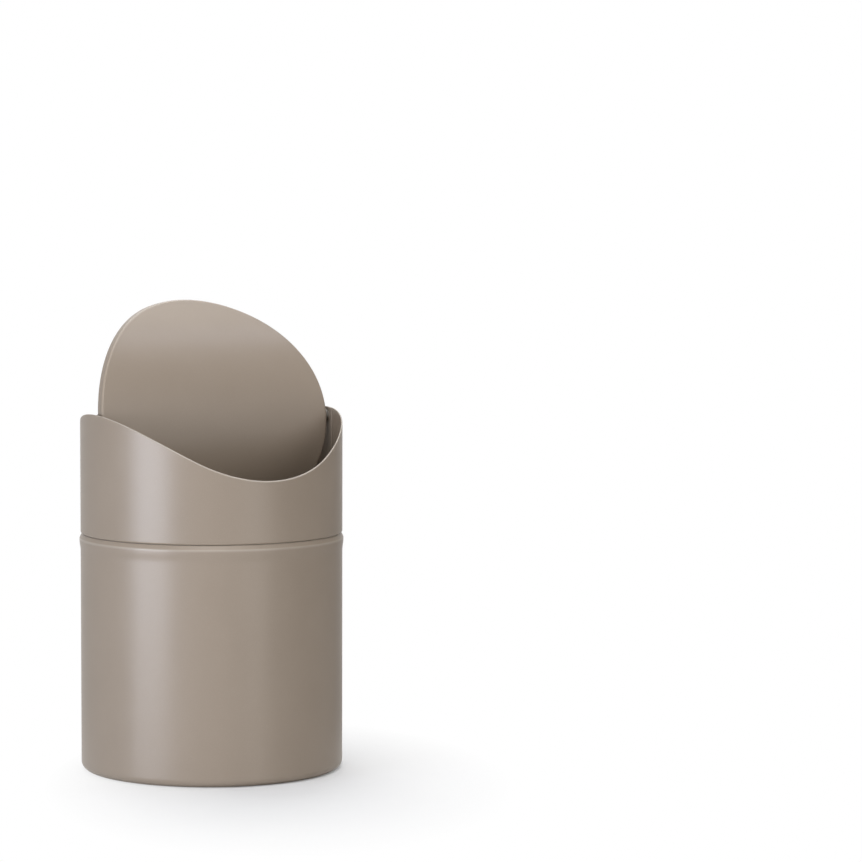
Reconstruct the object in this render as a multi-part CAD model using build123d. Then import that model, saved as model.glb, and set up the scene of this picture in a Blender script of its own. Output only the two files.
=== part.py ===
from build123d import *
import os
from math import acos, atan2, cos, degrees, radians, sin, sqrt

# Countertop trash can with a swing lid. A drawn steel bucket stands on the table, a steel hood plugs into
# its mouth, and an arched steel lid swings in the hood on two pivot studs.
# Millimetres. The origin is on the table, on the can's axis. +Z is up, -Y is the front, and the lid's
# pivot axis lies along X. The lid is modelled swung open, with its front half pushed down into the can.

# Bucket
body_radius = 60.0            # outside of the bucket's and the hood's walls
bucket_height = 108.3         # table to the mouth's edge
bucket_wall = 0.6
base_corner_radius = 3.5
stand_ring_width = 6.0        # flat ring that the bucket stands on
base_recess = 1.0             # rise of the bottom panel above the table
base_step_radius = 1.0        # both bends between the stand ring and the bottom panel
bead_rise = 0.55              # the mouth bead stands this far proud of the wall
bead_flare_length = 6.0       # wall to the bead's widest line
bead_top_length = 2.2         # the bead's widest line to the mouth's edge
bead_crest_radius = 1.0
bead_lip_angle = 26.0         # degrees that the lip above the widest line leans in

# Hood
hood_side_height = 56.2       # bucket's mouth to the rim's two high points, above the pivots
hood_wall = 0.6
spigot_length = 10.0          # straight neck that plugs into the bucket
spigot_clearance = 0.2        # radial, to the bucket's mouth
seat_gap = 0.1                # neck's shoulder to the mouth's edge
shoulder_bend_radius = 0.9    # outside bend, from the hood's wall into the shoulder
neck_bend_radius = 0.6        # inside bend, from the shoulder into the neck
rim_edge_radius = 0.2         # broken edges of the rim's cut

# Arch along X that both the hood's rim and the closed lid follow
arch_radius = 74.5
arch_flank_start = 49.7       # distance from the pivot axis where the arch runs out straight

# Lid
lid_edge_gap = 2.0            # skirt to the hood's wall, all round
lid_wall = 0.6
lid_ridge_rise = 0.9          # ridge of the closed lid above the rim's high points
lid_skirt_depth = 4.5         # ridge to the skirt's lower edge
lid_bend_radius = 1.4
lid_open_angle = 82.0

# Pivots
pivot_below_ridge = 5.1
tongue_radius = 4.0           # round end of the skirt's tongue, about the pivot
stud_radius = 1.5
stud_base_radius = 3.0        # welded base on the hood's inner wall
stud_tail = 0.6               # stud end past the retaining cap
bush_running_clearance = 0.08
bush_barrel_radius = 2.3
bush_flange_radius = 3.6
bush_flange_thickness = 0.8
bush_barrel_tail = 0.5        # barrel end past the tongue's inner face
pivot_end_play = 0.3          # along the pivot axis, on each side of the bush
cap_radius = 3.2
cap_thickness = 0.9

# Worked out from the sizes above
bead_lip_turn = radians(bead_lip_angle)
bead_lip_length = (bead_top_length - bead_crest_radius * sin(bead_lip_turn)) / cos(bead_lip_turn)
bead_tuck = bead_crest_radius * (1 - cos(bead_lip_turn)) + bead_lip_length * sin(bead_lip_turn)
mouth_inner_radius = body_radius + bead_rise - bead_tuck - bucket_wall
neck_radius = min(mouth_inner_radius, body_radius - bucket_wall) - spigot_clearance
hood_inner_radius = body_radius - hood_wall
hood_height = bucket_height + hood_side_height
lid_radius = hood_inner_radius - lid_edge_gap
lid_inner_radius = lid_radius - lid_wall
lid_ridge_height = hood_height + lid_ridge_rise
pivot_height = lid_ridge_height - pivot_below_ridge
cut_reach = 2 * body_radius   # half length of the tools that cut right across the can


def bent_sheet(start, way, moves, wall, axis_end):
    """Half section of a round sheet part. The moves follow the outer surface from start, and the wall lies
    to the left. A move is (length, 0) for a straight run or (radius, degrees) for a bend, left positive.
    The far edge is rounded, and so is the near one unless it lies on the can's axis."""
    outer_edges = []
    inner_edges = []
    here = Vector(*start)
    way = Vector(*way)
    for size, turn in moves:
        side = way.rotate(Axis.Z, 90)
        if turn == 0:
            there = here + way * size
            outer_edges.append(Line(here, there))
            inner_edges.append(Line(here + side * wall, there + side * wall))
        else:
            left = 1 if turn > 0 else -1
            centre = here + side * (left * size)
            spokes = [(here - centre).rotate(Axis.Z, turn * part) for part in (0, 0.5, 1)]
            inner_share = (size - left * wall) / size
            there = centre + spokes[2]
            outer_edges.append(ThreePointArc(*[centre + spoke for spoke in spokes]))
            inner_edges.append(ThreePointArc(*[centre + spoke * inner_share for spoke in spokes]))
            way = way.rotate(Axis.Z, turn)
        here = there
    far_edge = round_edge(outer_edges[-1] @ 1, inner_edges[-1] @ 1)
    if axis_end:
        near_edge = Line(inner_edges[0] @ 0, outer_edges[0] @ 0)
    else:
        near_edge = round_edge(inner_edges[0] @ 0, outer_edges[0] @ 0)
    return Plane.XZ * make_face(Wire(outer_edges + [far_edge] + inner_edges + [near_edge]))


def round_edge(first, second):
    """Half circle across a sheet's edge, from one surface to the other. It bulges to the right of the way."""
    outward = (second - first).rotate(Axis.Z, -90) * 0.5
    return ThreePointArc(first, (first + second) * 0.5 + outward, second)


def step_turn(offset, first_radius, second_radius):
    """Degrees of two equal and opposite bends that shift a sheet sideways by offset."""
    return degrees(acos(1 - offset / (first_radius + second_radius)))


def step_length(offset, first_radius, second_radius):
    """Length along the sheet that such a pair of bends takes up."""
    reach = first_radius + second_radius
    return sqrt(reach**2 - (reach - offset) ** 2)


def arch_drop(distance):
    """How far the arch lies below its ridge at a distance from it."""
    if distance <= arch_flank_start:
        return arch_radius - sqrt(arch_radius**2 - distance**2)
    flank_rise = sqrt(arch_radius**2 - arch_flank_start**2)
    return arch_radius - flank_rise + (distance - arch_flank_start) * arch_flank_start / flank_rise


def arch_block(ridge_height, cover=0.0):
    """Everything below the arch, with its ridge at a height. A cover moves the arch in by that thickness."""
    slope = atan2(arch_flank_start, sqrt(arch_radius**2 - arch_flank_start**2))
    centre_height = ridge_height - arch_radius
    radius = arch_radius - cover
    flank_y = radius * sin(slope)
    flank_z = centre_height + radius * cos(slope)
    end_y = cut_reach
    end_z = flank_z - (end_y - flank_y) * sin(slope) / cos(slope)
    foot_z = end_z - cut_reach
    outline = [
        ThreePointArc((-flank_y, flank_z), (0, centre_height + radius), (flank_y, flank_z)),
        Line((flank_y, flank_z), (end_y, end_z)),
        Line((end_y, end_z), (end_y, foot_z)),
        Line((end_y, foot_z), (-end_y, foot_z)),
        Line((-end_y, foot_z), (-end_y, end_z)),
        Line((-end_y, end_z), (-flank_y, flank_z)),
    ]
    return extrude(Plane.YZ * make_face(Wire(outline)), cut_reach, both=True)


def upright_cylinder(radius, low, high):
    return Pos(0, 0, low) * Cylinder(radius, high - low, align=(Align.CENTER, Align.CENTER, Align.MIN))


def pivot_cylinder(radius, inner_x, outer_x):
    """Round solid on the pivot axis, on the +X side."""
    upright = Cylinder(radius, outer_x - inner_x, align=(Align.CENTER, Align.CENTER, Align.MIN))
    return Pos(inner_x, 0, pivot_height) * Rot(0, 90, 0) * upright


def make_bucket():
    panel_radius = body_radius - base_corner_radius - stand_ring_width
    panel_radius -= step_length(base_recess, base_step_radius, base_step_radius)
    base_turn = step_turn(base_recess, base_step_radius, base_step_radius)
    # Two equal bends flare the wall out to the bead: their radius follows from its rise and length.
    flare_radius = (bead_rise**2 + bead_flare_length**2) / (4 * bead_rise)
    flare_turn = step_turn(bead_rise, flare_radius, flare_radius)
    wall_length = bucket_height - base_corner_radius - bead_flare_length - bead_top_length
    section = bent_sheet(
        (0, base_recess),
        (1, 0),
        [
            (panel_radius, 0),
            (base_step_radius, -base_turn),
            (base_step_radius, base_turn),
            (stand_ring_width, 0),
            (base_corner_radius, 90),
            (wall_length, 0),
            (flare_radius, -flare_turn),
            (flare_radius, flare_turn),
            (bead_crest_radius, bead_lip_angle),
            (bead_lip_length, 0),
        ],
        bucket_wall,
        axis_end=True,
    )
    return revolve(section, Axis.Z)


def make_hood():
    neck_foot = bucket_height + seat_gap - spigot_length
    neck_depth = body_radius - neck_radius
    neck_turn = step_turn(neck_depth, neck_bend_radius, shoulder_bend_radius)
    shoulder_height = step_length(neck_depth, neck_bend_radius, shoulder_bend_radius)
    wall_length = hood_height - neck_foot - spigot_length - shoulder_height
    section = bent_sheet(
        (neck_radius, neck_foot),
        (0, 1),
        [
            (spigot_length, 0),
            (neck_bend_radius, -neck_turn),
            (shoulder_bend_radius, neck_turn),
            (wall_length + hood_wall, 0),
        ],
        hood_wall,
        axis_end=False,
    )
    hood = revolve(section, Axis.Z) & arch_block(hood_height)
    rim_low = hood_height - arch_drop(body_radius) - hood_wall
    rim_edges = [
        edge
        for edge in hood.edges()
        if edge.center().Z > rim_low and edge.geom_type != GeomType.LINE
    ]
    return fillet(rim_edges, min(rim_edge_radius, hood_wall / 3))


def make_closed_lid():
    low = lid_ridge_height - arch_drop(lid_radius) - lid_skirt_depth
    outer = upright_cylinder(lid_radius, low - lid_wall, lid_ridge_height + lid_wall)
    outer &= arch_block(lid_ridge_height)
    outer = fillet(fold_edges(outer, lid_radius), lid_bend_radius)
    inner = upright_cylinder(lid_inner_radius, low - 2 * lid_wall, lid_ridge_height)
    inner &= arch_block(lid_ridge_height, cover=lid_wall)
    inner = fillet(fold_edges(inner, lid_inner_radius), lid_bend_radius - lid_wall)
    lid = outer - inner - arch_block(lid_ridge_height - lid_skirt_depth)
    lid += [make_tongue(side) for side in (-1, 1)]
    return lid - pivot_cylinder(bush_barrel_radius, -body_radius, body_radius)


def fold_edges(block, radius):
    """The edges round the top of a block that is cut to the lid's arch."""
    low = lid_ridge_height - arch_drop(lid_radius) - lid_skirt_depth / 2

    def is_fold(edge):
        spots = [edge @ part for part in (0, 0.5, 1)]
        on_circle = all(abs(spot.X**2 + spot.Y**2 - radius**2) < 1 for spot in spots)
        return on_circle and min(spot.Z for spot in spots) > low and edge.geom_type != GeomType.LINE

    return block.edges().filter_by(is_fold)


def make_tongue(side):
    """Round-ended tongue that runs down from the skirt round the pivot."""
    top = lid_ridge_height - lid_skirt_depth + lid_wall
    ring = upright_cylinder(lid_radius, pivot_height - 2 * tongue_radius, top)
    ring -= upright_cylinder(lid_inner_radius, pivot_height - 2 * tongue_radius, top)
    shape = Circle(tongue_radius) + Pos(0, tongue_radius) * Rectangle(2 * tongue_radius, 2 * tongue_radius)
    profile = Plane.YZ * (Pos(0, pivot_height) * shape)
    return ring & extrude(profile, side * cut_reach)


def make_stud():
    """Welded pivot stud on the +X side. Its base follows the hood's inner wall."""
    base_inner = lid_radius + bush_flange_thickness + pivot_end_play
    cap_inner = lid_inner_radius - bush_barrel_tail - pivot_end_play - cap_thickness
    base = pivot_cylinder(stud_base_radius, base_inner, body_radius)
    base &= upright_cylinder(hood_inner_radius, 0, hood_height)
    return base + pivot_cylinder(stud_radius, cap_inner - stud_tail, base_inner)


def make_cap():
    """Push-on cap that keeps the lid's tongue on the stud, on the +X side."""
    outer_face = lid_inner_radius - bush_barrel_tail - pivot_end_play
    cap = pivot_cylinder(cap_radius, outer_face - cap_thickness, outer_face)
    rim = cap.faces().sort_by(Axis.X)[0].edges()
    cap = fillet(rim, cap_thickness / 3)
    return cap - pivot_cylinder(stud_radius, 0, body_radius)


def make_bush():
    """Flanged nylon bush in the tongue's hole, on the +X side."""
    flange = pivot_cylinder(bush_flange_radius, lid_radius, lid_radius + bush_flange_thickness)
    barrel = pivot_cylinder(bush_barrel_radius, lid_inner_radius - bush_barrel_tail, lid_radius)
    bore = pivot_cylinder(stud_radius + bush_running_clearance, 0, body_radius)
    return flange + barrel - bore


def swing_open(part):
    """Turns a piece of the closed lid about the pivot axis into the modelled pose."""
    return Pos(0, 0, pivot_height) * Rot(lid_open_angle, 0, 0) * Pos(0, 0, -pivot_height) * part


def both_sides(name, right_part):
    """A right-hand piece and its copy turned half round the can's axis."""
    return {f"{name}_right": right_part, f"{name}_left": Rot(0, 0, 180) * right_part}


nodes = {"bucket": make_bucket(), "hood": make_hood()}
nodes |= both_sides("pivot_stud", make_stud())
nodes |= both_sides("retaining_cap", make_cap())
nodes["lid_panel"] = swing_open(make_closed_lid())
for bush_name, bush in both_sides("pivot_bush", make_bush()).items():
    nodes[bush_name] = swing_open(bush)

os.makedirs("parts", exist_ok=True)
for node_name, solid in nodes.items():
    export_step(solid, f"parts/{node_name}.step")
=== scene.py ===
# Countertop trash can with a swing lid, dressed for rendering: a lacquered steel bucket, a lacquered steel
# hood plugged into its mouth, and an arched lid that swings in the hood on two bushed studs.
# Metres. The origin is on the table, on the can's axis. +Z is up, -Y is the front, and the pivot axis lies
# along X. The lid is shown pushed open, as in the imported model.

from cmath import exp as turn_by
from math import acos, atan2, ceil, cos, degrees, hypot, pi, radians, sin, sqrt

import bmesh
import bpy
from mathutils import Matrix, Vector


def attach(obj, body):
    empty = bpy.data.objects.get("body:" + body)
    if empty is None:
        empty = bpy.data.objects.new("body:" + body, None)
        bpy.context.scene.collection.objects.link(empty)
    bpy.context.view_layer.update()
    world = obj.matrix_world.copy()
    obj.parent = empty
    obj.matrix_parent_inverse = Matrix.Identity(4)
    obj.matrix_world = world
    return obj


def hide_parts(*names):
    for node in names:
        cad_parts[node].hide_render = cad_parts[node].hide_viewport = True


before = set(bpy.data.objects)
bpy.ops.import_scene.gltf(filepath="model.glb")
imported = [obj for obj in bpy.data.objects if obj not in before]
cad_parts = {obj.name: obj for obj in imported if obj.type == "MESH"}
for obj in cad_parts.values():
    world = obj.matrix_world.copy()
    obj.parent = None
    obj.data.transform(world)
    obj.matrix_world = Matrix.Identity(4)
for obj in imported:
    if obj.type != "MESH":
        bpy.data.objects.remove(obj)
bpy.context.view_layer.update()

# Bucket
body_radius = 0.060
bucket_height = 0.1083
sheet = 0.0006                  # wall of the bucket, the hood and the lid
base_corner_radius = 0.0035
stand_ring_width = 0.006
base_recess = 0.001
base_step_radius = 0.001
bead_rise = 0.00052
bead_flare_length = 0.006
bead_top_length = 0.0022
bead_crest_radius = 0.001
bead_lip_angle = radians(26)    # lean of the lip above the bead's widest line
bead_crest_highlight = 0.6                 # share of the free edges' paler strip that the bead's crest gets, as a painted highlight
bead_highlight_below = 0.0001        # the painted highlight strip starts this far below the widest line
bead_highlight_above = 0.0006        # and ends this far above it

# Hood
hood_side_height = 0.0562
spigot_length = 0.010
spigot_clearance = 0.0002
seat_drop = 0.0003              # the hood's neck bend starts this far below the mouth's edge
shoulder_bend_radius = 0.0009
neck_bend_radius = 0.0006
rim_straight = 0.0015           # strip under the rim that keeps its section
lap_rise = 0.00025              # lap of the rolled sheet, inside the hood beside the right pivot
lap_angles = (radians(-6.6), radians(-2.9))
lap_edge = radians(0.18)
lap_edge_steps = (-1, -0.4, 0.4, 1)  # columns of vertices about each edge of the lap
lap_margin = 3 * lap_edge

# Arch along X that the rim and the lid follow
arch_radius = 0.0745
arch_flank_start = 0.0497       # distance from the pivot axis where the arch runs out straight
flank_angle = atan2(arch_flank_start, sqrt(arch_radius**2 - arch_flank_start**2))

# Lid
lid_edge_gap = 0.002
lid_ridge_rise = 0.0009
lid_skirt_depth = 0.0045
lid_bend_radius = 0.0009
lid_open_angle = radians(82)
lid_sharp_angle = radians(38)   # edges that bend more than this stay sharp

# Pivots
pivot_below_ridge = 0.0051
tongue_radius = 0.004
tongue_fillet = 0.0006
bush_barrel_radius = 0.0023

# Worked out
bead_lip_length = (bead_top_length - bead_crest_radius * sin(bead_lip_angle)) / cos(bead_lip_angle)
bead_tuck = bead_crest_radius * (1 - cos(bead_lip_angle)) + bead_lip_length * sin(bead_lip_angle)
mouth_inner_radius = body_radius + bead_rise - bead_tuck - sheet
neck_radius = min(mouth_inner_radius, body_radius - sheet) - spigot_clearance
hood_height = bucket_height + hood_side_height
lid_radius = body_radius - sheet - lid_edge_gap
lid_ridge_height = hood_height + lid_ridge_rise
pivot_height = lid_ridge_height - pivot_below_ridge

# Studio
studio_turn = radians(26.8)     # the camera stands this far round to the left, and the studio turns with it
lamp_target = Vector((0, 0, 0.1))
side_fade = (0.25, 0.60)        # where reflections start to dim to a side, and where they are dimmest
ceiling_fade = (0.40, 0.70)     # the same, upwards
floor_size = 4.0                # half width
floor_drop = 0.00005            # keeps the floor clear of the stand ring
shade_right = 0.030             # middle of the painted shade on the floor, from the can's axis
shade_front = 0.045
shade_squeeze = 0.6             # distances to the front and back count this much, so it is longest that way
shade_fade = (0.02, 0.105)      # from the painted shade's middle out to plain white
flag_fade = (0.07, 0.18)        # distance from the can over which the floor dims in reflections
left_flag = 0.6                 # share of the right side's dimming that the left side gets
sheen_roughness = 0.22          # of the floor's gloss, which only reflections see

# Fineness of the meshes
turned_segments = 256
bend_step = radians(9)
least_bend_rows = 4
edge_steps = 6                  # faces round a sheet's free edge
tongue_steps = 12               # from the pivot axis to the tongue's widest line
fillet_steps = 5                # along the fillet at the tongue's foot
skirt_steps = 60                # from the fillet to the lid's front or back
drill_segments = 48
row_pitch = 0.003
row_guard = 0.00025             # row close to each bend, so that the shading stays crisp
touch = 0.00001                 # two radii that differ by less count as one


# ---------------------------------------------------------------- nodes

node_spacing = 190


class Wire:
    """An output of a node. Arithmetic on wires and numbers adds Math nodes."""

    def __init__(self, board, socket):
        self.board = board
        self.socket = socket

    def math(self, operation, *values):
        sockets = dict(enumerate(values))
        return self.board.add("ShaderNodeMath", {"operation": operation}, sockets)["Value"]

    def __add__(self, other):
        return self.math("ADD", self, other)

    __radd__ = __add__

    def __sub__(self, other):
        return self.math("SUBTRACT", self, other)

    def __rsub__(self, other):
        return self.math("SUBTRACT", other, self)

    def __mul__(self, other):
        return self.math("MULTIPLY", self, other)

    __rmul__ = __mul__

    def __truediv__(self, other):
        return self.math("DIVIDE", self, other)

    def __pow__(self, other):
        return self.math("POWER", self, other)

    def __abs__(self):
        return self.math("ABSOLUTE", self)

    def least(self, other):
        return self.math("MINIMUM", self, other)

    def most(self, other):
        return self.math("MAXIMUM", self, other)


class Placed:
    """A node on a board. Its outputs are read by name as wires."""

    def __init__(self, board, node):
        self.board = board
        self.node = node

    def __getitem__(self, name):
        return Wire(self.board, self.node.outputs[name])


class Board:
    """A node tree that nodes are added to from left to right."""

    def __init__(self, tree):
        self.tree = tree

    def add(self, kind, settings=None, sockets=None):
        """Adds a node: its settings first, then the values and wires of its input sockets."""
        node = self.tree.nodes.new(kind)
        node.location = (node_spacing * len(self.tree.nodes), 0)
        for name, value in (settings or {}).items():
            setattr(node, name, value)
        for name, value in (sockets or {}).items():
            if isinstance(value, Wire):
                self.tree.links.new(value.socket, node.inputs[name])
            else:
                node.inputs[name].default_value = value
        return Placed(self, node)

    def blend(self, share, first, second):
        """Mix of two colours."""
        settings = {"data_type": "RGBA", "clamp_factor": True}
        mix = self.add("ShaderNodeMix", settings, {0: share, 6: first, 7: second})
        return Wire(self, mix.node.outputs[2])

    def range(self, value, low, high, out_low, out_high):
        sockets = {0: value, 1: low, 2: high, 3: out_low, 4: out_high}
        return self.add("ShaderNodeMapRange", {"clamp": True}, sockets)["Result"]


def new_material(name):
    material = bpy.data.materials.new(name)
    material.use_nodes = True
    material.node_tree.nodes.clear()
    return material, Board(material.node_tree)


def colour(red, green, blue):
    """Linear colour with full alpha, from 0 to 255 display values."""
    levels = [value / 255 for value in (red, green, blue)]
    return (*[v / 12.92 if v <= 0.04045 else ((v + 0.055) / 1.055) ** 2.4 for v in levels], 1.0)


def grey(level):
    return colour(level, level, level)


# ---------------------------------------------------------------- finishes


def make_lacquer():
    """Satin pearl lacquer on steel: a fine flake, a faint orange peel, and a paler strip on free edges,
    partly a thinner film and partly a painted highlight; on the bead's crest the strip is a painted
    highlight."""
    material, board = new_material("pearl_lacquer")
    place = board.add("ShaderNodeTexCoord")["Object"]
    cloud = board.add("ShaderNodeTexNoise", {}, {"Vector": place, "Scale": 38.0, "Detail": 3.0})["Fac"]
    peel = board.add("ShaderNodeTexNoise", {}, {"Vector": place, "Scale": 620.0, "Detail": 2.0})["Fac"]
    grain = board.add("ShaderNodeTexNoise", {}, {"Vector": place, "Scale": 5200.0, "Detail": 1.0})["Fac"]
    flake_cells = board.add("ShaderNodeTexVoronoi", {}, {"Vector": place, "Scale": 9000.0})
    flake_pick = board.add("ShaderNodeSeparateXYZ", {}, {0: flake_cells["Color"]})["X"]
    bright_flakes = board.range(flake_pick, 0.86, 1.0, 0.0, 1.0)
    edge = board.add("ShaderNodeAttribute", {"attribute_name": "edge_film_and_highlight"})["Fac"]

    film = board.blend(cloud, colour(144, 130, 115), colour(150, 136, 121))
    film = board.blend(grain * 0.12, film, colour(121, 108, 95))
    film = board.blend(bright_flakes * 0.11, film, colour(214, 206, 196))
    # Paler strip: on free edges partly a thinner film and partly a painted highlight, on the bead's crest a
    # painted highlight.
    film = board.blend(edge * 0.55, film, colour(186, 177, 165))

    relief = peel * 0.8 + grain * 0.2
    bump = board.add("ShaderNodeBump", {}, {"Strength": 0.10, "Distance": 0.00006, "Height": relief})
    shader = board.add(
        "ShaderNodeBsdfPrincipled",
        {},
        {
            "Base Color": film,
            "Metallic": bright_flakes * 0.3,
            "Roughness": 0.345 + cloud * 0.05 - edge * 0.06,
            "IOR": 1.5,
            "Normal": bump["Normal"],
        },
    )
    board.add("ShaderNodeOutputMaterial", {}, {"Surface": shader["BSDF"]})
    return material


def make_turned_steel():
    """Bare steel turned about the pivot axis: fine rings, and a little dulling."""
    material, board = new_material("turned_steel")
    place = board.add("ShaderNodeTexCoord")["Object"]
    centred = board.add("ShaderNodeMapping", {}, {"Vector": place, "Location": (0, 0, -pivot_height)})
    parts = board.add("ShaderNodeSeparateXYZ", {}, {0: centred["Vector"]})
    from_axis = (parts["Y"] * parts["Y"] + parts["Z"] * parts["Z"]) ** 0.5
    groove = from_axis + parts["X"] * 0.4
    rings = board.add("ShaderNodeTexNoise", {"noise_dimensions": "1D"}, {"W": groove, "Scale": 9000.0})
    haze = board.add("ShaderNodeTexNoise", {}, {"Vector": place, "Scale": 700.0, "Detail": 4.0})["Fac"]
    tone = board.blend(haze, colour(176, 176, 174), colour(203, 202, 199))
    bump = board.add("ShaderNodeBump", {}, {"Strength": 0.35, "Distance": 0.00002, "Height": rings["Fac"]})
    shader = board.add(
        "ShaderNodeBsdfPrincipled",
        {},
        {
            "Base Color": tone,
            "Metallic": 1.0,
            "Roughness": board.range(haze, 0.3, 0.7, 0.24, 0.40),
            "Normal": bump["Normal"],
        },
    )
    board.add("ShaderNodeOutputMaterial", {}, {"Surface": shader["BSDF"]})
    return material


def make_nylon():
    """Moulded taupe nylon, slightly uneven and finely matt."""
    material, board = new_material("moulded_nylon")
    place = board.add("ShaderNodeTexCoord")["Object"]
    milk = board.add("ShaderNodeTexNoise", {}, {"Vector": place, "Scale": 420.0, "Detail": 3.0})["Fac"]
    grit = board.add("ShaderNodeTexNoise", {}, {"Vector": place, "Scale": 5000.0, "Detail": 2.0})["Fac"]
    tone = board.blend(milk, colour(112, 103, 93), colour(122, 113, 102))
    bump = board.add("ShaderNodeBump", {}, {"Strength": 0.2, "Distance": 0.00003, "Height": grit})
    shader = board.add(
        "ShaderNodeBsdfPrincipled",
        {},
        {
            "Base Color": tone,
            "Roughness": board.range(milk, 0.3, 0.7, 0.42, 0.54),
            "IOR": 1.53,
            "Normal": bump["Normal"],
        },
    )
    board.add("ShaderNodeOutputMaterial", {}, {"Surface": shader["BSDF"]})
    return material


# ---------------------------------------------------------------- sheet metal


def bent_section(start, way, moves):
    """Half section of a bent sheet, as (outer, inner) lists of matching points, radius + height * 1j. The
    moves follow the outer surface and the sheet lies to the left. A move is (length, 0) for a straight run
    or (radius, degrees) for a bend, left positive."""
    outer = [start]
    ways = [way]
    for size, bend in moves:
        here = outer[-1]
        way = ways[-1]
        if bend == 0:
            rows = max(1, ceil((size - 2 * row_guard) / row_pitch))
            span = size - 2 * row_guard
            steps = [row_guard + span * row / rows for row in range(rows + 1)] + [size]
            outer += [here + way * step for step in steps]
            ways += [way] * len(steps)
        else:
            side = 1j if bend > 0 else -1j
            centre = here + way * side * size
            rows = max(least_bend_rows, ceil(abs(radians(bend)) / bend_step))
            new_ways = [way * turn_by(1j * radians(bend) * row / rows) for row in range(1, rows + 1)]
            outer += [centre - new_way * side * size for new_way in new_ways]
            ways += new_ways
    inner = [point + way * 1j * sheet for point, way in zip(outer, ways)]
    return outer, inner


def round_edge(first, second):
    """Points between two surfaces of a sheet, round its free edge. It bulges to the right of the way."""
    middle = (first + second) / 2
    spoke = first - middle
    return [middle + spoke * turn_by(1j * pi * step / edge_steps) for step in range(1, edge_steps)]


def step_turn(offset, first_radius, second_radius):
    """Degrees of two equal and opposite bends that shift a sheet sideways by offset."""
    return degrees(acos(1 - offset / (first_radius + second_radius)))


def step_length(offset, first_radius, second_radius):
    """Length along the sheet that such a pair of bends takes up."""
    reach = first_radius + second_radius
    return sqrt(reach**2 - (reach - offset) ** 2)


def outline_of(outer, inner, open_start, open_end):
    """Outline of a section as (point, free edge share, thickness in height of the sheet at that point)."""
    cover = [abs(up.imag - low.imag) for up, low in zip(outer, inner)]
    outline = [(point, 0.0, 0.0) for point in outer]
    if open_end:
        outline += [(point, 1.0, 0.0) for point in round_edge(outer[-1], inner[-1])]
    outline += [(point, 0.0, thick) for point, thick in reversed(list(zip(inner, cover)))]
    if open_start:
        outline += [(point, 1.0, 0.0) for point in round_edge(inner[0], outer[0])]
    return outline


def place_in_scene(name, data):
    """Adds a mesh, a lamp or a camera to the scene as an object."""
    thing = bpy.data.objects.new(name, data)
    bpy.context.scene.collection.objects.link(thing)
    return thing


def placed_mesh(name, form):
    """Turns a built form into a mesh in the scene."""
    mesh = bpy.data.meshes.new(name)
    form.to_mesh(mesh)
    form.free()
    return place_in_scene(name, mesh)


def turn_sheet(name, outline, angles, follow, hang=None):
    """Turns an outline about the can's axis into a closed mesh. Vertices keep how far they follow the arch,
    the thickness to allow for there, and their share of the paler strip: the free edges' thinner film and
    painted highlight, and the painted highlight on the bead's crest."""
    form = bmesh.new()
    follow_layer = form.verts.layers.float.new("arch_follow")
    cover_layer = form.verts.layers.float.new("arch_cover")
    film_and_highlight_layer = form.verts.layers.float.new("edge_film_and_highlight")
    rings = []
    for point, edge, cover in outline:
        on_axis = point.real < touch
        ring = []
        for angle in [0.0] if on_axis else angles:
            x = 0.0 if on_axis else point.real * cos(angle)
            y = 0.0 if on_axis else point.real * sin(angle)
            drop = hang(point, y) if hang else 0.0
            vertex = form.verts.new((x, y, point.imag - drop))
            vertex[follow_layer] = follow(point)
            vertex[cover_layer] = cover
            vertex[film_and_highlight_layer] = edge
            ring.append(vertex)
        rings.append(ring)
    for low, high in zip(rings, rings[1:] + rings[:1]):
        if len(low) == len(high) == 1:
            continue
        for here in range(len(angles)):
            there = (here + 1) % len(angles)
            if len(low) == 1:
                form.faces.new((low[0], high[there], high[here]))
            elif len(high) == 1:
                form.faces.new((low[here], low[there], high[0]))
            else:
                form.faces.new((low[here], low[there], high[there], high[here]))
    bmesh.ops.recalc_face_normals(form, faces=form.faces)
    piece = placed_mesh(name, form)
    piece.data.shade_smooth()
    return piece


def make_arch_tree():
    """Geometry nodes that lower a turned sheet to the arch along X, as far as its vertices follow it."""
    tree = bpy.data.node_groups.new("arch_over", "GeometryNodeTree")
    for name, kind in (
        ("Geometry", "NodeSocketGeometry"),
        ("Arch Radius", "NodeSocketFloat"),
        ("Flank Angle", "NodeSocketFloat"),
        ("Finish", "NodeSocketMaterial"),
    ):
        tree.interface.new_socket(name=name, in_out="INPUT", socket_type=kind)
    tree.interface.new_socket(name="Geometry", in_out="OUTPUT", socket_type="NodeSocketGeometry")
    board = Board(tree)
    given = board.add("NodeGroupInput")

    def stored(name):
        reader = board.add("GeometryNodeInputNamedAttribute", {"data_type": "FLOAT"}, {"Name": name})
        outputs = [out for out in reader.node.outputs if out.name == "Attribute" and out.enabled]
        return Wire(board, outputs[0])

    place = board.add("GeometryNodeInputPosition")["Position"]
    off_axis = abs(board.add("ShaderNodeSeparateXYZ", {}, {0: place})["Y"])
    radius = given["Arch Radius"] - stored("arch_cover")
    sine = off_axis.math("SINE", given["Flank Angle"])
    slope = off_axis.math("TANGENT", given["Flank Angle"])
    on_arc = off_axis.least(radius * sine)
    drop = radius - (radius * radius - on_arc * on_arc) ** 0.5 + (off_axis - on_arc) * slope
    lower = board.add("ShaderNodeCombineXYZ", {}, {"Z": drop * stored("arch_follow") * -1.0})["Vector"]
    moved = board.add("GeometryNodeSetPosition", {}, {"Geometry": given["Geometry"], "Offset": lower})
    whole = board.add("GeometryNodeRealizeInstances", {}, {"Geometry": moved["Geometry"]})
    dressed = board.add(
        "GeometryNodeSetMaterial", {}, {"Geometry": whole["Geometry"], "Material": given["Finish"]}
    )
    board.add("NodeGroupOutput", {}, {"Geometry": dressed["Geometry"]})
    return tree


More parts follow.
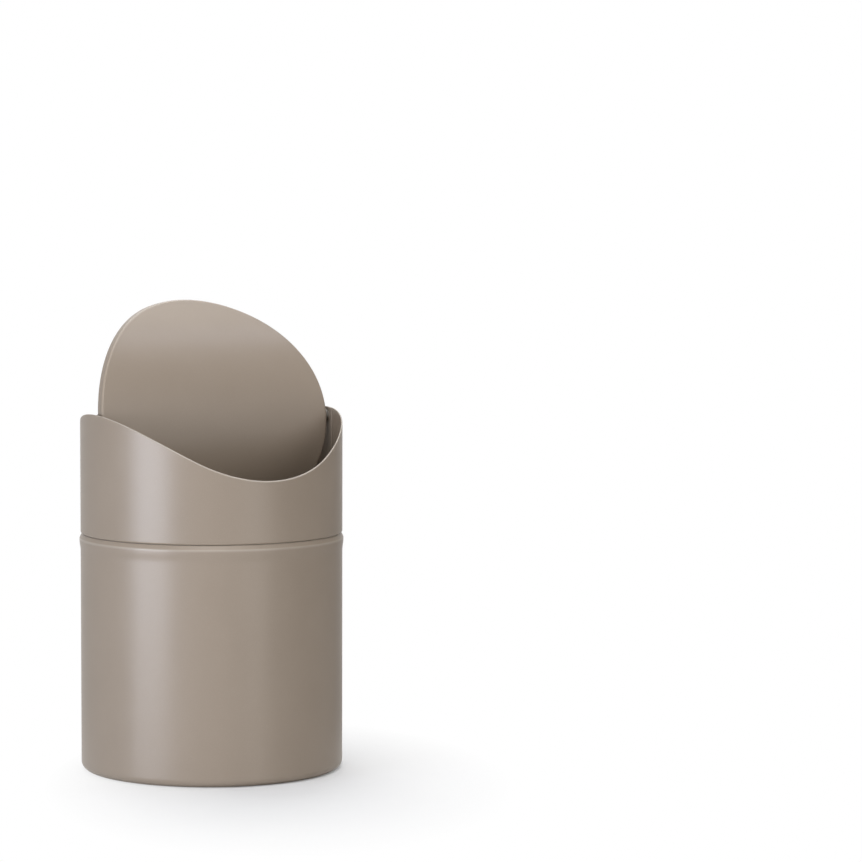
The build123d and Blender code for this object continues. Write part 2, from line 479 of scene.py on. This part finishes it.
def arch_over(piece, tree, finish):
    """Runs the arch tree on a piece and keeps the result as its plain mesh."""
    modifier = piece.modifiers.new("arch", "NODES")
    modifier.node_group = tree
    values = {"Arch Radius": arch_radius, "Flank Angle": flank_angle, "Finish": finish}
    for item in tree.interface.items_tree:
        if item.name in values:
            modifier[item.identifier] = values[item.name]
    settle(piece)


def settle(piece):
    """Replaces a piece's mesh with what its modifiers make of it, and removes them."""
    graph = bpy.context.evaluated_depsgraph_get()
    mesh = bpy.data.meshes.new_from_object(piece.evaluated_get(graph))
    piece.modifiers.clear()
    piece.data = mesh


def even_angles(count):
    return [2 * pi * step / count for step in range(count)]


# ---------------------------------------------------------------- bucket


def make_bucket():
    panel_radius = body_radius - base_corner_radius - stand_ring_width
    panel_radius -= step_length(base_recess, base_step_radius, base_step_radius)
    base_turn = step_turn(base_recess, base_step_radius, base_step_radius)
    flare_radius = (bead_rise**2 + bead_flare_length**2) / (4 * bead_rise)
    flare_turn = step_turn(bead_rise, flare_radius, flare_radius)
    wall_length = bucket_height - base_corner_radius - bead_flare_length - bead_top_length
    outer, inner = bent_section(
        complex(0, base_recess),
        1 + 0j,
        [
            (panel_radius, 0),
            (base_step_radius, -base_turn),
            (base_step_radius, base_turn),
            (stand_ring_width, 0),
            (base_corner_radius, 90),
            (wall_length, 0),
            (flare_radius, -flare_turn),
            (flare_radius, flare_turn),
            (bead_crest_radius, degrees(bead_lip_angle)),
            (bead_lip_length, 0),
        ],
    )
    crest = bucket_height - bead_top_length

    def on_crest(point):
        above = point.imag - crest
        return point.real > body_radius and -bead_highlight_below < above < bead_highlight_above

    # The bead's crest gets part of the free edges' paler strip: a painted highlight along the line of light
    # it catches.
    outline = [
        (point, bead_crest_highlight if on_crest(point) else edge, cover)
        for point, edge, cover in outline_of(outer, inner, open_start=False, open_end=True)
    ]
    return turn_sheet("bucket_shell", outline, even_angles(turned_segments), lambda point: 0.0)


# ---------------------------------------------------------------- hood


def make_hood():
    neck_foot = bucket_height - seat_drop - spigot_length
    neck_depth = body_radius - neck_radius
    neck_turn = step_turn(neck_depth, neck_bend_radius, shoulder_bend_radius)
    shoulder_height = step_length(neck_depth, neck_bend_radius, shoulder_bend_radius)
    wall_foot = neck_foot + spigot_length + shoulder_height
    edge_radius = sheet / 2
    wall_length = hood_height - edge_radius - wall_foot
    outer, inner = bent_section(
        complex(neck_radius, neck_foot),
        1j,
        [
            (spigot_length, 0),
            (neck_bend_radius, -neck_turn),
            (shoulder_bend_radius, neck_turn),
            (wall_length, 0),
        ],
    )
    outline = outline_of(outer, inner, open_start=True, open_end=True)
    outline = [(point, edge, 0.0) for point, edge, _ in outline]
    straight_from = hood_height - rim_straight

    def follow(point):
        return min(1.0, max(0.0, (point.imag - wall_foot) / (straight_from - wall_foot)))

    angles = [angle for angle in even_angles(turned_segments) if not in_lap(angle, lap_margin)]
    for end in lap_angles:
        angles += [(end + lap_edge * step) % (2 * pi) for step in lap_edge_steps]
    angles += [sum(lap_angles) / 2 % (2 * pi)]
    hood = turn_sheet("hood_shell", outline, sorted(angles), follow)
    for vertex in hood.data.vertices:
        out = hypot(vertex.co.x, vertex.co.y)
        inside = out < body_radius - sheet + touch and vertex.co.z > wall_foot
        if inside and in_lap(atan2(vertex.co.y, vertex.co.x), 0.0):
            vertex.co.x *= 1 - lap_rise / out
            vertex.co.y *= 1 - lap_rise / out
    return hood


def in_lap(angle, margin):
    """Whether an angle round the hood lies in the sheet's lap, or within a margin of it."""
    turned = (angle + pi) % (2 * pi) - pi
    return lap_angles[0] - margin < turned < lap_angles[1] + margin


# ---------------------------------------------------------------- lid


def lid_angles():
    """Angles round the lid, close together where the tongues' outlines run steeply."""
    offsets = [tongue_radius * sin(pi / 2 * step / tongue_steps) for step in range(tongue_steps + 1)]
    foot = tongue_radius + tongue_fillet
    fillet_turns = [pi / 2 * step / fillet_steps for step in range(1, fillet_steps + 1)]
    offsets += [foot - tongue_fillet * cos(turn) for turn in fillet_turns]
    near = [atan2(offset, sqrt(lid_radius**2 - offset**2)) for offset in offsets]
    left_over = pi / 2 - near[-1]
    quarter = near + [near[-1] + left_over * step / skirt_steps for step in range(1, skirt_steps + 1)]
    half = quarter + [pi - angle for angle in reversed(quarter[:-1])]
    return half + [2 * pi - angle for angle in reversed(half[1:-1])]


def tongue_drop(off_axis):
    """How far the tongue hangs below the skirt's edge at a distance from the pivot axis."""
    off_axis = abs(off_axis)
    centre = pivot_below_ridge - lid_skirt_depth
    if off_axis <= tongue_radius:
        return centre + sqrt(tongue_radius**2 - off_axis**2)
    beyond = tongue_radius + tongue_fillet - off_axis
    if beyond <= 0:
        return 0.0
    return max(0.0, centre - sqrt(max(0.0, tongue_fillet**2 - beyond**2)))


def make_lid(arch_tree, finish):
    edge_radius = sheet / 2
    skirt_foot = lid_ridge_height - lid_skirt_depth + edge_radius
    skirt_top = lid_ridge_height - lid_bend_radius
    outer, inner = bent_section(
        complex(lid_radius, skirt_foot),
        1j,
        [
            (skirt_top - skirt_foot, 0),
            (lid_bend_radius, 90),
            (lid_radius - lid_bend_radius, 0),
        ],
    )
    outline = outline_of(outer, inner, open_start=True, open_end=False)
    skirt_inside = lid_radius - lid_bend_radius

    def hang(point, y):
        if point.real < skirt_inside or point.imag > skirt_top:
            return 0.0
        share = (skirt_top - point.imag) / (skirt_top - skirt_foot)
        return min(1.0, max(0.0, share)) * tongue_drop(y)

    lid = turn_sheet("swing_lid", outline, lid_angles(), lambda point: 1.0, hang)
    arch_over(lid, arch_tree, finish)

    pivot = Matrix.Translation((0, 0, pivot_height))
    half_facet = Matrix.Rotation(pi / drill_segments, 4, "Z")
    form = bmesh.new()
    bmesh.ops.create_cone(
        form,
        cap_ends=True,
        segments=drill_segments,
        radius1=bush_barrel_radius,
        radius2=bush_barrel_radius,
        depth=2 * body_radius,
        matrix=pivot @ Matrix.Rotation(pi / 2, 4, "Y") @ half_facet,
    )
    drill = placed_mesh("drill", form)
    cut = lid.modifiers.new("pivot_holes", "BOOLEAN")
    cut.operation = "DIFFERENCE"
    cut.solver = "EXACT"
    cut.object = drill
    settle(lid)
    bpy.data.objects.remove(drill)
    lid.data.transform(pivot @ Matrix.Rotation(lid_open_angle, 4, "X") @ pivot.inverted())
    lid.data.set_sharp_from_angle(angle=lid_sharp_angle)
    return lid


# ---------------------------------------------------------------- studio


def make_camera():
    """Camera a little above the can, to the left of its front."""
    distance = 1.6105
    height = 0.2765
    aim_right = radians(3.581)
    aim_down = radians(4.315)
    tilt = radians(0.165)
    camera = place_in_scene("camera", bpy.data.cameras.new("camera"))
    camera.data.sensor_fit = "HORIZONTAL"
    camera.data.sensor_width = 36.0
    camera.data.lens = 146.83
    camera.data.clip_start = 0.05
    camera.data.clip_end = 20.0
    facing = Matrix.Rotation(-(studio_turn + aim_right), 4, "Z")
    facing @= Matrix.Rotation(pi / 2 - aim_down, 4, "X")
    facing @= Matrix.Rotation(tilt, 4, "Z")
    spot = Vector((-distance * sin(studio_turn), -distance * cos(studio_turn), height))
    camera.matrix_world = Matrix.Translation(spot) @ facing
    bpy.context.scene.camera = camera


def add_softbox(name, round_angle, height, distance, size, power, tint=(1.0, 1.0, 1.0)):
    """Soft lamp that points at the middle of the can. The angle is taken round the can from its front, to
    the right positive, in degrees."""
    lamp = bpy.data.lights.new(name, "AREA")
    lamp.shape = "RECTANGLE"
    lamp.size, lamp.size_y = size
    lamp.energy = power
    lamp.color = tint
    holder = place_in_scene(name, lamp)
    angle = radians(round_angle)
    spot = Vector((distance * sin(angle), -distance * cos(angle), height))
    facing = (spot - lamp_target).to_track_quat("Z", "Y").to_matrix().to_4x4()
    holder.matrix_world = Matrix.Translation(spot) @ facing
    holder.visible_camera = False


def make_world(daylight, left_level, right_level, ceiling_level):
    """Soft light from all round. The camera sees white, and reflections see it dimmed to the left, to the
    right and overhead."""
    world = bpy.data.worlds.new("studio")
    bpy.context.scene.world = world
    world.use_nodes = True
    world.node_tree.nodes.clear()
    board = Board(world.node_tree)
    rays = board.add("ShaderNodeLightPath")
    way = board.add("ShaderNodeSeparateXYZ", {}, {0: board.add("ShaderNodeTexCoord")["Generated"]})
    start, end = side_fade
    ceiling = board.range(way["Z"], *ceiling_fade, 0.0, 1.0)
    right = board.range(studio_right(way), start, end, 0.0, 1.0 - right_level)
    left = board.range(studio_right(way), -end, -start, 1.0 - left_level, 0.0)
    mirrored = 1.0 - (right + left) * (1.0 - ceiling) - ceiling * (1.0 - ceiling_level)
    glossy = rays["Is Glossy Ray"]
    seen = rays["Is Camera Ray"].most(rays["Is Transmission Ray"])
    level = daylight + (1.0 - daylight) * seen + (mirrored - daylight) * glossy
    sky = board.add("ShaderNodeBackground", {}, {"Color": (1, 1, 1, 1), "Strength": level})
    board.add("ShaderNodeOutputWorld", {}, {"Surface": sky["Background"]})


def studio_right(way):
    """How far a direction or a place lies to the right of the studio's middle."""
    return way["X"] * cos(studio_turn) - way["Y"] * sin(studio_turn)


def studio_back(way):
    """How far a direction or a place lies behind the studio's middle."""
    return way["X"] * sin(studio_turn) + way["Y"] * cos(studio_turn)


def make_floor(tone_level, bounce_level, glow_level, side_level, sheen_share):
    """Pale floor. The eye sees it run out into plain white, except in a painted shade about the can: inside
    an offset ellipse the floor's real shading shows, blended out to white, so the shade's place and length
    are painted. Reflections see it dimmer to the sides and partly glossy, and all other light meets a plain
    floor."""
    form = bmesh.new()
    bmesh.ops.create_grid(form, x_segments=24, y_segments=24, size=floor_size)
    floor = placed_mesh("studio_floor", form)
    floor.data.transform(Matrix.Translation((0, 0, -floor_drop)))
    material, board = new_material("studio_white")
    floor.data.materials.append(material)

    def glowing(strength):
        white = {"Color": (1, 1, 1, 1), "Strength": strength}
        return board.add("ShaderNodeEmission", {}, white)["Emission"]

    def mixed(share, first, second):
        return board.add("ShaderNodeMixShader", {}, {0: share, 1: first, 2: second})["Shader"]

    rays = board.add("ShaderNodeLightPath")
    glossy = rays["Is Glossy Ray"]
    seen = rays["Is Camera Ray"].most(glossy).most(rays["Is Transmission Ray"])
    place = board.add("ShaderNodeTexCoord")["Object"]
    away = board.add("ShaderNodeVectorMath", {"operation": "LENGTH"}, {0: place})["Value"]
    spot = board.add("ShaderNodeSeparateXYZ", {}, {0: place})
    side = studio_right(spot) / away
    across = studio_right(spot) - shade_right
    along = (studio_back(spot) + shade_front) * shade_squeeze
    from_shade = (across * across + along * along) ** 0.5
    speckle = board.add("ShaderNodeTexNoise", {}, {"Vector": place, "Scale": 60.0, "Detail": 4.0})["Fac"]
    tone = board.blend(speckle, grey(tone_level - 3), grey(tone_level))
    paint = board.add("ShaderNodeBsdfDiffuse", {}, {"Color": tone})["BSDF"]
    lit = board.add("ShaderNodeAddShader", {}, {0: paint, 1: glowing(glow_level)})["Shader"]
    # Painted shade: the real lit floor shows only near an offset, stretched middle and fades to white away
    # from it.
    ground = mixed(board.range(from_shade, *shade_fade, 0.0, 1.0), lit, glowing(1.0))
    start, end = side_fade
    flag = board.range(side, start, end, 0.0, 1.0) + board.range(side, -end, -start, left_flag, 0.0)
    flag = flag * board.range(away, *flag_fade, 0.0, 1.0) * glossy
    flagged = mixed(flag, ground, glowing(side_level))
    gloss = {"Color": (1, 1, 1, 1), "Roughness": sheen_roughness}
    sheen = board.add("ShaderNodeBsdfAnisotropic", {}, gloss)["BSDF"]
    flagged = mixed(glossy * sheen_share, flagged, sheen)
    bounce = board.add("ShaderNodeBsdfDiffuse", {}, {"Color": grey(bounce_level)})["BSDF"]
    board.add("ShaderNodeOutputMaterial", {}, {"Surface": mixed(seen, bounce, flagged)})


make_camera()
lacquer = make_lacquer()
turned_steel = make_turned_steel()
nylon = make_nylon()

arch_tree = make_arch_tree()
bucket = make_bucket()
bucket.data.materials.append(lacquer)
hood = make_hood()
arch_over(hood, arch_tree, lacquer)
lid = make_lid(arch_tree, lacquer)

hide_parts("bucket")
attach(bucket, "bucket_base")
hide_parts("hood")
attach(hood, "hood_assembly")
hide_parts("lid_panel")
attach(lid, "lid")

for side in ("left", "right"):
    for node, finish in (
        (f"pivot_stud_{side}", turned_steel),
        (f"retaining_cap_{side}", turned_steel),
        (f"pivot_bush_{side}", nylon),
    ):
        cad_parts[node].material_slots[0].material = finish

make_world(daylight=0.15, left_level=0.4, right_level=0.1, ceiling_level=0.9)
make_floor(tone_level=222, bounce_level=211, glow_level=0.07, side_level=0.30, sheen_share=0.5)
add_softbox("key_softbox", -79.6, 0.14, 1.0, (0.60, 0.30), 5.6, (0.93, 1.0, 1.15))
add_softbox("right_softbox", 12.0, 0.5, 1.5, (0.5, 0.9), 5.3)
add_softbox("top_softbox", -26.8, 1.9, 0.05, (1.4, 1.4), 18.4)
add_softbox("front_top_softbox", -26.8, 1.1, 1.3, (1.2, 0.6), 7.6)
add_softbox("right_top_softbox", 67.0, 1.21, 0.61, (0.25, 0.25), 0.95, (0.93, 1.0, 1.2))
add_softbox("rear_softbox", 153.2, 1.5, 1.1, (1.1, 0.8), 9.0)

bpy.context.scene.view_settings.view_transform = "Standard"
